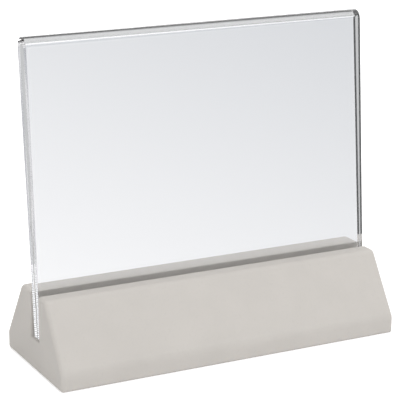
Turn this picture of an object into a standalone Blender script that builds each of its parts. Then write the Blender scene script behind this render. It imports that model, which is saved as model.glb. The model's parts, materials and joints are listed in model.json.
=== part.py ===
"""Tabletop sign stand: a slotted base block and a clear sheet, folded double, that stands in the slot.

Frame: metres, +Z up, +X along the base and +Y towards the back. The origin is the centre of the
underside. The sheet's fold is at the top and its two open ends stand in the slot. It leans back
there and lifts out along its own lean.
"""

import math

import bmesh
import bpy

MM = 0.001

# Base block
BASE_LENGTH = 180 * MM
BASE_DEPTH = 68 * MM
BASE_HEIGHT = 38.2 * MM
SIDE_HEIGHT = 8.5 * MM  # upright sides, below the slopes
TOP_DEPTH = 29 * MM  # flat top, between the slopes
EDGE_ROUNDING = 2.0 * MM
UNDERSIDE_ROUNDING = 1.2 * MM
SLOT_ROUNDING = 0.6 * MM
ROUNDING_SEGMENTS = 4

# Slot, cut from end to end and a little in front of the middle
SLOT_WIDTH = 10.0 * MM
SLOT_CENTRE_Y = -2.0 * MM
SLOT_FLOOR_Z = 15.5 * MM

# Clear sheet: two leaves joined by the fold at the top and drawn together in the slot
SHEET_WIDTH = 178 * MM
SHEET_THICKNESS = 3.5 * MM
HOLDER_HEIGHT = 142.0 * MM  # from the open ends to the top of the fold, along the lean
FOOT_GAP = 0.3 * MM  # between the leaves at their open ends
LEAN_DEG = 4.8  # of the middle of the pair
SPREAD_DEG = 0.55  # of each leaf, away from the middle
SHEET_EDGE_ROUNDING = 0.25 * MM
FOLD_SEGMENTS = 16

CLEARANCE = 0.3 * MM  # between pieces that touch

# Worked-out sizes. The fold's inside meets the leaves where their spread has opened the gap to it.
SPREAD_SLOPE = math.tan(math.radians(SPREAD_DEG))
FOLD_INSIDE_RADIUS = (FOOT_GAP / 2 + (HOLDER_HEIGHT - SHEET_THICKNESS) * SPREAD_SLOPE) / (1 + SPREAD_SLOPE)
FOLD_RADIUS = FOLD_INSIDE_RADIUS + SHEET_THICKNESS
FOLD_CENTRE = HOLDER_HEIGHT - FOLD_RADIUS
LEAF_HEIGHT = FOLD_CENTRE - CLEARANCE
HALF_FOOT = FOOT_GAP / 2 + SHEET_THICKNESS

# Worked-out places
SLOT_FRONT_Y = SLOT_CENTRE_Y - SLOT_WIDTH / 2
SLOT_BACK_Y = SLOT_CENTRE_Y + SLOT_WIDTH / 2
HOLDER_Y = SLOT_FRONT_Y + CLEARANCE + HALF_FOOT
HOLDER_Z = SLOT_FLOOR_Z + CLEARANCE + HALF_FOOT * math.sin(math.radians(LEAN_DEG + SPREAD_DEG))


def clear_scene():
    for obj in list(bpy.data.objects):
        bpy.data.objects.remove(obj, do_unlink=True)


def make_material(name, colour, roughness, alpha=1.0, metallic=0.0):
    material = bpy.data.materials.new(name)
    material.use_nodes = True
    shader = material.node_tree.nodes["Principled BSDF"]
    shader.inputs["Base Color"].default_value = (*colour, 1.0)
    shader.inputs["Roughness"].default_value = roughness
    shader.inputs["Metallic"].default_value = metallic
    shader.inputs["Alpha"].default_value = alpha
    return material


def extruded(name, outline, half_width, material):
    """A closed prism: an outline of (y, z) points, in order round it, pushed along X."""
    shape = bmesh.new()
    left = [shape.verts.new((-half_width, y, z)) for y, z in outline]
    face = shape.faces.new(left)
    pushed = bmesh.ops.extrude_face_region(shape, geom=[face])
    moved = [item for item in pushed["geom"] if isinstance(item, bmesh.types.BMVert)]
    bmesh.ops.translate(shape, verts=moved, vec=(2 * half_width, 0, 0))
    bmesh.ops.recalc_face_normals(shape, faces=shape.faces)
    return finished(name, shape, material)


def finished(name, shape, material):
    mesh = bpy.data.meshes.new(name)
    shape.to_mesh(mesh)
    shape.free()
    obj = bpy.data.objects.new(name, mesh)
    obj.data.materials.append(material)
    bpy.context.scene.collection.objects.link(obj)
    return obj


def round_edges(obj, width, segments, rounding_of):
    """Rounds each edge to rounding_of(a, b), a radius up to width, for the edge's end points a and b."""
    mesh = obj.data
    weights = mesh.attributes.new("bevel_weight_edge", "FLOAT", "EDGE")
    for edge in mesh.edges:
        a, b = (mesh.vertices[i].co for i in edge.vertices)
        weights.data[edge.index].value = rounding_of(a, b) / width
    bevel = obj.modifiers.new("rounding", "BEVEL")
    bevel.width = width
    bevel.segments = segments
    bevel.limit_method = "WEIGHT"
    bevel.use_clamp_overlap = True


def shade(obj):
    obj.data.shade_smooth()
    obj.data.set_sharp_from_angle(angle=math.radians(30))


def base_outline():
    half_depth, half_top = BASE_DEPTH / 2, TOP_DEPTH / 2
    return [
        (-half_depth, 0),
        (-half_depth, SIDE_HEIGHT),
        (-half_top, BASE_HEIGHT),
        (SLOT_FRONT_Y, BASE_HEIGHT),
        (SLOT_FRONT_Y, SLOT_FLOOR_Z),
        (SLOT_BACK_Y, SLOT_FLOOR_Z),
        (SLOT_BACK_Y, BASE_HEIGHT),
        (half_top, BASE_HEIGHT),
        (half_depth, SIDE_HEIGHT),
        (half_depth, 0),
    ]


def base_rounding(a, b):
    """The slot's edges are only just broken, the underside's a little more, and the others are soft."""
    small = 0.01 * MM

    def in_slot(point):
        return SLOT_FRONT_Y - small < point.y < SLOT_BACK_Y + small and point.z > SLOT_FLOOR_Z - small

    if in_slot(a) and in_slot(b):
        along_floor = abs(a.x - b.x) > small and a.z < SLOT_FLOOR_Z + small
        return 0 if along_floor else SLOT_ROUNDING
    if a.z < small and b.z < small:
        return UNDERSIDE_ROUNDING
    return EDGE_ROUNDING


def make_base():
    paint = make_material("base_paint", (0.62, 0.58, 0.52), roughness=0.6)
    base = extruded("base_block", base_outline(), BASE_LENGTH / 2, paint)
    round_edges(base, EDGE_ROUNDING, ROUNDING_SEGMENTS, base_rounding)
    shade(base)
    return base


def make_leaf(name, side, holder, clear):
    """side is +1 for the leaf behind the card and -1 for the one in front of it.

    Its origin is on its inner face, at the middle of its open end.
    """
    outer = side * SHEET_THICKNESS
    outline = [(0, 0), (outer, 0), (outer, LEAF_HEIGHT), (0, LEAF_HEIGHT)]
    leaf = extruded(name, outline, SHEET_WIDTH / 2, clear)
    round_edges(leaf, SHEET_EDGE_ROUNDING, 1, lambda a, b: SHEET_EDGE_ROUNDING)
    leaf.parent = holder
    leaf.location = (0, side * FOOT_GAP / 2, 0)
    leaf.rotation_euler = (math.radians(-side * SPREAD_DEG), 0, 0)
    return leaf


def arc(radius):
    """(y, z) points over the top of the fold, from the front leaf to the back one."""
    turns = [math.pi * step / FOLD_SEGMENTS for step in range(FOLD_SEGMENTS + 1)]
    return [(-radius * math.cos(turn), FOLD_CENTRE + radius * math.sin(turn)) for turn in turns]


def make_fold(holder, clear):
    """The bend that joins the leaves' tops, a half ring as thick as the sheet."""
    outline = arc(FOLD_RADIUS) + arc(FOLD_INSIDE_RADIUS)[::-1]
    fold = extruded("sheet_fold", outline, SHEET_WIDTH / 2, clear)
    shade(fold)
    fold.parent = holder
    return fold


def make_holder():
    holder = bpy.data.objects.new("holder", None)
    bpy.context.scene.collection.objects.link(holder)
    holder.location = (0, HOLDER_Y, HOLDER_Z)
    holder.rotation_euler = (math.radians(-LEAN_DEG), 0, 0)
    clear = make_material("clear_acrylic", (0.93, 0.95, 0.96), roughness=0.03, alpha=0.3)
    make_leaf("back_leaf", 1, holder, clear)
    make_leaf("front_leaf", -1, holder, clear)
    make_fold(holder, clear)


clear_scene()
make_base()
make_holder()
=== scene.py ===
"""Looks for the tabletop sign stand: a painted, slotted base block and a clear folded sheet.

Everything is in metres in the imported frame: +X along the base, +Y to the back, +Z up, with the
origin under the middle of the base. Sizes come from the frame's nodes, or are the design's own.
"""

import json
import math

import bmesh
import bpy
from mathutils import Matrix, Vector


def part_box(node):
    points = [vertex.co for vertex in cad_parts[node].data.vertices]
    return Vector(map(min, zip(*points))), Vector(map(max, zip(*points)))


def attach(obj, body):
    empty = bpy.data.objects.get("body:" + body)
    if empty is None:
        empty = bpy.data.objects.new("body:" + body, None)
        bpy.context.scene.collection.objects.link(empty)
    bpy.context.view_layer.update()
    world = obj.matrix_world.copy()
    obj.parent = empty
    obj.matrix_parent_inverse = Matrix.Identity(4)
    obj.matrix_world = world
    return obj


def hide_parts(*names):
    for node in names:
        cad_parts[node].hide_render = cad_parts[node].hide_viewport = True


MM = 0.001

# Base block: what the node's box doesn't say
SIDE_HEIGHT = 8.5 * MM
TOP_DEPTH = 29 * MM
SLOT_WIDTH = 10.0 * MM
SLOT_CENTRE_Y = -2.0 * MM
SLOT_FLOOR_Z = 15.5 * MM
BASE_ROUNDING = 2.0 * MM
UNDERSIDE_ROUNDING = 1.2 * MM
SLOT_ROUNDING = 0.6 * MM
BASE_SEGMENTS = 8

# Clear sheet
SHEET_THICKNESS = 3.5 * MM
SPREAD_DEG = 0.55  # of each leaf, away from the middle of the pair, on average
FOLD_SKEW = 0.35 * MM  # the fold's radius is over its average by this at the left end, under at the right
TOP_EASE = 0.03 * MM  # keeps the smoothly curved fold under the CAD's faceted one
FOLD_STEPS = 48
RIM_ROUNDING = 0.15 * MM
RIM_SEGMENTS = 3
RIM_ANGLE_DEG = 25  # edges sharper than this are rounded

SMALL = 0.01 * MM  # when two places count as the same

# Colours
PAINT_DARK = (0.415, 0.394, 0.370, 1)
PAINT_PALE = (0.438, 0.416, 0.391, 1)
PAINT_SPECK = (0.385, 0.363, 0.339, 1)
ACRYLIC_TINT = (0.985, 0.988, 0.992, 1)
FLOOR_WHITE = (0.9, 0.9, 0.9, 1)
WHITE = (1.0, 1.0, 1.0, 1)

# Camera
VIEW_AZIMUTH_DEG = -27.29  # 0 looks along +Y
VIEW_ELEVATION_DEG = 15.91
VIEW_ROLL_DEG = 0.29
VIEW_TARGET = Vector((-2.06, 0, 72.06)) * MM
VIEW_DISTANCE = 809.9 * MM
LENS_MM = 150.4
SENSOR_MM = 36

# Studio
FLOOR_RADIUS = 6.0
FLOOR_DROP = 0.05 * MM  # below the base, so that the two faces don't fight
FLOOR_GLOW = 0.25  # keeps the contact shadow faint
LAMP_PLACE = Vector((0.3, -0.5, 1.8))
LAMP_SIZE = 1.6
LAMP_WATTS = 12.0
LIGHT_BOUNCES = 160  # light runs a long way inside the clear sheet, from edge to edge

# What surrounds the stand, as seen in the clear sheet
HAZE = (0.625, 0.641, 0.668, 1)
GLOW = (1.000, 0.998, 1.005, 1)
OVERHEAD = (1.3, 1.3, 1.3, 1)
FOLD_BACKDROP = (0.56, 0.565, 0.57, 1)
UNLIT_BELOW = (0.03, 0.03, 0.032, 1)
UNLIT_ASIDE = (0.02, 0.02, 0.022, 1)
UNLIT_AZIMUTH_DEG = 86
UNLIT_ELEVATION_DEG = -65

# What lights the paint
DOME_LEFT = (0.82, 0.82, 0.82, 1)
DOME_RIGHT = (1.12, 1.12, 1.12, 1)


# ---------------------------------------------------------------- helpers


def mesh_object(name, shape, material):
    mesh = bpy.data.meshes.new(name)
    shape.to_mesh(mesh)
    shape.free()
    mesh.materials.append(material)
    mesh.shade_smooth()
    obj = bpy.data.objects.new(name, mesh)
    bpy.context.scene.collection.objects.link(obj)
    return obj


def extents(nodes, direction):
    """Lowest and highest place of CAD nodes along a direction."""
    places = [v.co.dot(direction) for name in nodes for v in frame["nodes"][name].data.vertices]
    return min(places), max(places)


def weighted_bevel(obj, width, segments, rounding_of):
    """Rounds each edge to rounding_of(a, b), a radius up to width, for the edge's end points."""
    mesh = obj.data
    weights = mesh.attributes.new("bevel_weight_edge", "FLOAT", "EDGE")
    for edge in mesh.edges:
        a, b = (mesh.vertices[i].co for i in edge.vertices)
        weights.data[edge.index].value = rounding_of(a, b) / width
    bevel = obj.modifiers.new("rounding", "BEVEL")
    bevel.width = width
    bevel.segments = segments
    bevel.limit_method = "WEIGHT"
    bevel.harden_normals = True


class Nodes:
    """A small helper around a node tree. A value is a number, a colour or another node's output."""

    def __init__(self, tree):
        self.tree = tree

    def put(self, value, socket):
        if isinstance(value, bpy.types.NodeSocket):
            self.tree.links.new(value, socket)
        else:
            socket.default_value = value

    def add(self, kind, inputs=None, **settings):
        node = self.tree.nodes.new(kind)
        for name, value in settings.items():
            setattr(node, name, value)
        for name, value in (inputs or {}).items():
            self.put(value, node.inputs[name])
        return node

    def math(self, operation, *values):
        node = self.add("ShaderNodeMath", operation=operation)
        for socket, value in zip(node.inputs, values):
            self.put(value, socket)
        return node.outputs[0]

    def remap(self, value, low, high, to_low, to_high, smooth=False):
        node = self.add(
            "ShaderNodeMapRange",
            {"Value": value, "From Min": low, "From Max": high, "To Min": to_low, "To Max": to_high},
            interpolation_type="SMOOTHSTEP" if smooth else "LINEAR",
        )
        return node.outputs["Result"]

    def mix(self, factor, a, b):
        """Colour a where factor is 0 and b where it's 1."""
        node = self.add("ShaderNodeMix", data_type="RGBA")
        factor_in, a_in, b_in, colour_out = node.inputs[0], node.inputs[6], node.inputs[7], node.outputs[2]
        for socket, value in ((factor_in, factor), (a_in, a), (b_in, b)):
            self.put(value, socket)
        return colour_out


def new_material(name):
    material = bpy.data.materials.new(name)
    material.use_nodes = True
    return material, Nodes(material.node_tree), material.node_tree.nodes["Principled BSDF"]


# ---------------------------------------------------------------- materials


def base_paint():
    """Matt greige paint with a fine sprayed texture and faint mottling."""
    material, nodes, shader = new_material("base_paint")
    place = nodes.add("ShaderNodeTexCoord").outputs["Object"]
    mottle = nodes.add(
        "ShaderNodeTexNoise", {"Vector": place, "Scale": 55.0, "Detail": 5.0, "Roughness": 0.6}
    )
    speck = nodes.add("ShaderNodeTexNoise", {"Vector": place, "Scale": 900.0, "Detail": 2.0})
    peel = nodes.add("ShaderNodeTexNoise", {"Vector": place, "Scale": 1500.0, "Detail": 3.0})
    colour = nodes.mix(nodes.remap(mottle.outputs["Fac"], 0.3, 0.7, 0.0, 1.0), PAINT_DARK, PAINT_PALE)
    colour = nodes.mix(nodes.remap(speck.outputs["Fac"], 0.58, 0.75, 0.0, 0.35), colour, PAINT_SPECK)
    nodes.put(colour, shader.inputs["Base Color"])
    nodes.put(nodes.remap(mottle.outputs["Fac"], 0.3, 0.7, 0.52, 0.64), shader.inputs["Roughness"])
    shader.inputs["Specular IOR Level"].default_value = 0.4
    bump = nodes.add(
        "ShaderNodeBump", {"Height": peel.outputs["Fac"], "Strength": 0.25, "Distance": 0.08 * MM}
    )
    nodes.put(bump.outputs["Normal"], shader.inputs["Normal"])
    return material


def clear_acrylic():
    """Polished clear acrylic, with the faintest smears of a handled sheet."""
    material, nodes, shader = new_material("clear_acrylic")
    place = nodes.add("ShaderNodeTexCoord").outputs["Object"]
    smear = nodes.add(
        "ShaderNodeTexNoise", {"Vector": place, "Scale": 30.0, "Detail": 4.0, "Distortion": 0.6}
    )
    shader.inputs["Base Color"].default_value = ACRYLIC_TINT
    shader.inputs["Transmission Weight"].default_value = 1.0
    shader.inputs["IOR"].default_value = 1.49
    nodes.put(nodes.remap(smear.outputs["Fac"], 0.35, 0.75, 0.0, 0.02), shader.inputs["Roughness"])
    return material


def pale_floor():
    material, nodes, shader = new_material("floor")
    place = nodes.add("ShaderNodeTexCoord").outputs["Object"]
    tooth = nodes.add("ShaderNodeTexNoise", {"Vector": place, "Scale": 300.0, "Detail": 3.0})
    shader.inputs["Base Color"].default_value = FLOOR_WHITE
    shader.inputs["Specular IOR Level"].default_value = 0.2
    shader.inputs["Emission Color"].default_value = WHITE
    shader.inputs["Emission Strength"].default_value = FLOOR_GLOW
    nodes.put(nodes.remap(tooth.outputs["Fac"], 0.3, 0.7, 0.75, 0.85), shader.inputs["Roughness"])
    return material


# ---------------------------------------------------------------- base


def base_outline(low, high):
    """(y, z) points of the block's end, round the slot."""
    half_top = TOP_DEPTH / 2
    front, back = SLOT_CENTRE_Y - SLOT_WIDTH / 2, SLOT_CENTRE_Y + SLOT_WIDTH / 2
    return [
        (low.y, low.z),
        (low.y, low.z + SIDE_HEIGHT),
        (-half_top, high.z),
        (front, high.z),
        (front, SLOT_FLOOR_Z),
        (back, SLOT_FLOOR_Z),
        (back, high.z),
        (half_top, high.z),
        (high.y, low.z + SIDE_HEIGHT),
        (high.y, low.z),
    ]


def base_rounding(a, b):
    """Soft outer edges, a smaller rounding underneath, and slot edges that are only just broken."""
    low_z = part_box("base_block")[0].z

    def in_slot(point):
        off_centre = abs(point.y - SLOT_CENTRE_Y)
        return off_centre < SLOT_WIDTH / 2 + SMALL and point.z > SLOT_FLOOR_Z - SMALL

    if in_slot(a) and in_slot(b):
        along_floor = abs(a.x - b.x) > SMALL and a.z < SLOT_FLOOR_Z + SMALL
        return 0 if along_floor else SLOT_ROUNDING
    if a.z < low_z + SMALL and b.z < low_z + SMALL:
        return UNDERSIDE_ROUNDING
    return BASE_ROUNDING


def make_base(material):
    low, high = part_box("base_block")
    shape = bmesh.new()
    end = shape.faces.new([shape.verts.new((low.x, y, z)) for y, z in base_outline(low, high)])
    pushed = bmesh.ops.extrude_face_region(shape, geom=[end])
    moved = [item for item in pushed["geom"] if isinstance(item, bmesh.types.BMVert)]
    bmesh.ops.translate(shape, verts=moved, vec=(high.x - low.x, 0, 0))
    bmesh.ops.recalc_face_normals(shape, faces=shape.faces)
    base = mesh_object("base_body", shape, material)
    weighted_bevel(base, BASE_ROUNDING, BASE_SEGMENTS, base_rounding)
    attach(base, "base")
    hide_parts("base_block")


# ---------------------------------------------------------------- clear sheet


def sheet_rows(fold_radius, foot_radius, height):
    """Rows of one end of the folded sheet, from the front leaf's foot over the fold to the back leaf's.

    Each is (outer point, inner point), and a point is (across, up) in the holder's own plane,
    measured from the feet. The radii are from the middle to a leaf's outer face.
    """
    centre = Vector((0, height - fold_radius))

    def foot_row(side):
        """The open end of a leaf, drawn in towards the other one; side is -1 for the front leaf."""
        return Vector((side * foot_radius, 0)), Vector((side * (foot_radius - SHEET_THICKNESS), 0))

    rows = [foot_row(-1)]
    for step in range(FOLD_STEPS + 1):
        turn = math.pi * step / FOLD_STEPS
        ray = Vector((-math.cos(turn), math.sin(turn)))
        rows.append((centre + ray * fold_radius, centre + ray * (fold_radius - SHEET_THICKNESS)))
    rows.append(foot_row(1))
    return rows


def make_sheet(material):
    """One continuous sheet folded double, in place of the CAD's two leaves and fold."""
    nodes = ["front_leaf", "back_leaf", "sheet_fold"]
    up = Vector(frame["joints"][0]["axis"]).normalized()
    across = up.cross(Vector((1, 0, 0))).normalized()
    across *= -1 if across.y < 0 else 1
    half_width = extents(nodes, Vector((1, 0, 0)))[1]
    foot, top = extents(nodes, up)
    fold_front, fold_back = extents(["sheet_fold"], across)
    fold_radius = (fold_back - fold_front) / 2
    middle = (fold_back + fold_front) / 2
    foot_radius = fold_radius - (top - foot - fold_radius) * math.tan(math.radians(SPREAD_DEG))

    shape = bmesh.new()
    rings = []
    height = top - TOP_EASE - foot
    left_rows, right_rows = (
        sheet_rows(fold_radius + skew, foot_radius, height) for skew in (FOLD_SKEW, -FOLD_SKEW)
    )
    for left, right in zip(left_rows, right_rows):
        ring = []
        for x, (off, rise) in (
            (-half_width, left[0]),
            (half_width, right[0]),
            (half_width, right[1]),
            (-half_width, left[1]),
        ):
            ring.append(shape.verts.new(Vector((x, 0, 0)) + across * (middle + off) + up * (foot + rise)))
        rings.append(ring)
    for before, after in zip(rings, rings[1:]):
        for k in range(4):
            shape.faces.new((before[k], before[(k + 1) % 4], after[(k + 1) % 4], after[k]))
    shape.faces.new(rings[0])
    shape.faces.new(rings[-1])
    bmesh.ops.recalc_face_normals(shape, faces=shape.faces)
    sheet = mesh_object("clear_sheet", shape, material)
    bevel = sheet.modifiers.new("polished_rim", "BEVEL")
    bevel.width = RIM_ROUNDING
    bevel.segments = RIM_SEGMENTS
    bevel.limit_method = "ANGLE"
    bevel.angle_limit = math.radians(RIM_ANGLE_DEG)
    bevel.harden_normals = True
    sheet.visible_shadow = False  # clear all through, so that the lamp reaches the base behind it
    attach(sheet, "holder")
    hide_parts(*nodes)


# ---------------------------------------------------------------- studio


def make_floor():
    shape = bmesh.new()
    bmesh.ops.create_circle(shape, cap_ends=True, radius=FLOOR_RADIUS, segments=96)
    floor = mesh_object("floor", shape, pale_floor())
    floor.location.z = -FLOOR_DROP
    floor.visible_glossy = False
    floor.visible_transmission = False


def heading(azimuth_deg, elevation_deg):
    """The direction that a look at this azimuth and elevation points in."""
    a, e = math.radians(azimuth_deg), math.radians(elevation_deg)
    return Vector((math.sin(a) * math.cos(e), math.cos(a) * math.cos(e), math.sin(e)))


def make_world():
    """White for the camera, and for every other ray a soft box: bright above, shaded below and aside."""
    world = bpy.data.worlds.new("studio")
    world.use_nodes = True
    bpy.context.scene.world = world
    nodes = Nodes(world.node_tree)
    background = world.node_tree.nodes["Background"]
    direction = nodes.add("ShaderNodeTexCoord").outputs["Generated"]
    x, y, z = nodes.add("ShaderNodeSeparateXYZ", {"Vector": direction}).outputs
    path = nodes.add("ShaderNodeLightPath").outputs

    def near(azimuth, elevation, full_deg, none_deg):
        """1 within full_deg of a direction, falling softly to 0 at none_deg."""
        toward = {0: direction, 1: heading(azimuth, elevation)}
        dot = nodes.add("ShaderNodeVectorMath", toward, operation="DOT_PRODUCT")
        full, none = math.cos(math.radians(full_deg)), math.cos(math.radians(none_deg))
        return nodes.remap(dot.outputs["Value"], none, full, 0.0, 1.0, smooth=True)

    def both(a, b):
        return nodes.math("MULTIPLY", a, b)

    def over(value, limit):
        return nodes.math("GREATER_THAN", value, limit)

    def under(value, limit):
        return nodes.math("LESS_THAN", value, limit)

    # What the clear sheet shows: a glow below the horizon that fades upwards and to the right
    fade = nodes.math("ADD", nodes.math("MULTIPLY", x, -0.46), nodes.math("MULTIPLY", z, -1.19))
    light = nodes.mix(nodes.remap(fade, -0.15, 0.22, 0.0, 1.0), HAZE, GLOW)
    light = nodes.mix(nodes.remap(z, 0.05, 0.6, 0.0, 1.0), light, OVERHEAD)

    # Light that crosses the sheet only once, at the fold, comes from a dimmer part
    crossings, bounces = path["Transmission Depth"], path["Glossy Depth"]
    once = both(both(under(crossings, 3.0), over(crossings, 0.5)), under(bounces, 3.5))
    light = nodes.mix(once, light, FOLD_BACKDROP)

    # Rays bent steeply down by the fold, or thrown aside by an edge, find the unlit parts
    below = near(UNLIT_AZIMUTH_DEG, UNLIT_ELEVATION_DEG, 26, 36)
    light = nodes.mix(below, light, UNLIT_BELOW)
    leftward = nodes.remap(x, -0.24, -0.34, 0.0, 1.0, smooth=True)
    backward = nodes.remap(y, 0.0, 0.2, 0.0, 1.0)
    light = nodes.mix(both(leftward, both(over(bounces, 0.5), backward)), light, UNLIT_ASIDE)

    # What lights the paint, through the sheet or not: a dome that's a little dimmer on the left
    dome = nodes.mix(nodes.remap(x, -1.0, 1.0, 0.0, 1.0), DOME_LEFT, DOME_RIGHT)
    dome = nodes.mix(nodes.remap(z, 0.2, 0.9, 0.0, 1.0), dome, OVERHEAD)
    light = nodes.mix(over(path["Diffuse Depth"], 0.5), light, dome)

    light = nodes.mix(path["Is Camera Ray"], light, WHITE)
    nodes.put(light, background.inputs["Color"])


def make_lamp():
    lamp = bpy.data.lights.new("top_softbox", "AREA")
    lamp.shape = "SQUARE"
    lamp.size = LAMP_SIZE
    lamp.energy = LAMP_WATTS
    obj = bpy.data.objects.new("top_softbox", lamp)
    obj.location = LAMP_PLACE
    obj.rotation_euler = (VIEW_TARGET - LAMP_PLACE).to_track_quat("-Z", "Y").to_euler()
    bpy.context.scene.collection.objects.link(obj)


def make_camera():
    forward = heading(-VIEW_AZIMUTH_DEG, -VIEW_ELEVATION_DEG)
    data = bpy.data.cameras.new("camera")
    data.lens = LENS_MM
    data.sensor_width = SENSOR_MM
    camera = bpy.data.objects.new("camera", data)
    bpy.context.scene.collection.objects.link(camera)
    roll = Matrix.Rotation(math.radians(VIEW_ROLL_DEG), 3, "Z")
    turn = forward.to_track_quat("-Z", "Y").to_matrix() @ roll
    camera.matrix_world = Matrix.Translation(VIEW_TARGET - forward * VIEW_DISTANCE) @ turn.to_4x4()
    bpy.context.scene.camera = camera


def set_light_paths():
    scene = bpy.context.scene
    scene.view_settings.view_transform = "Standard"
    scene.cycles.max_bounces = LIGHT_BOUNCES
    scene.cycles.glossy_bounces = LIGHT_BOUNCES
    scene.cycles.transmission_bounces = LIGHT_BOUNCES


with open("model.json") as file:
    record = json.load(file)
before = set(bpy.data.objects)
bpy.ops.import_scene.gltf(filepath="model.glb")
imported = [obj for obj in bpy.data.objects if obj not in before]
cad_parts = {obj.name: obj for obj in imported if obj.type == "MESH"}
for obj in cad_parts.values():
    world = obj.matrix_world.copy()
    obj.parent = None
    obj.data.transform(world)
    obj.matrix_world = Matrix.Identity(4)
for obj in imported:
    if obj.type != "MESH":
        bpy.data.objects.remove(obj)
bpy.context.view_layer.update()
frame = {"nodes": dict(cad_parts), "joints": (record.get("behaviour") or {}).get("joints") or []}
make_base(base_paint())
make_sheet(clear_acrylic())
make_floor()
make_world()
make_lamp()
make_camera()
set_light_paths()
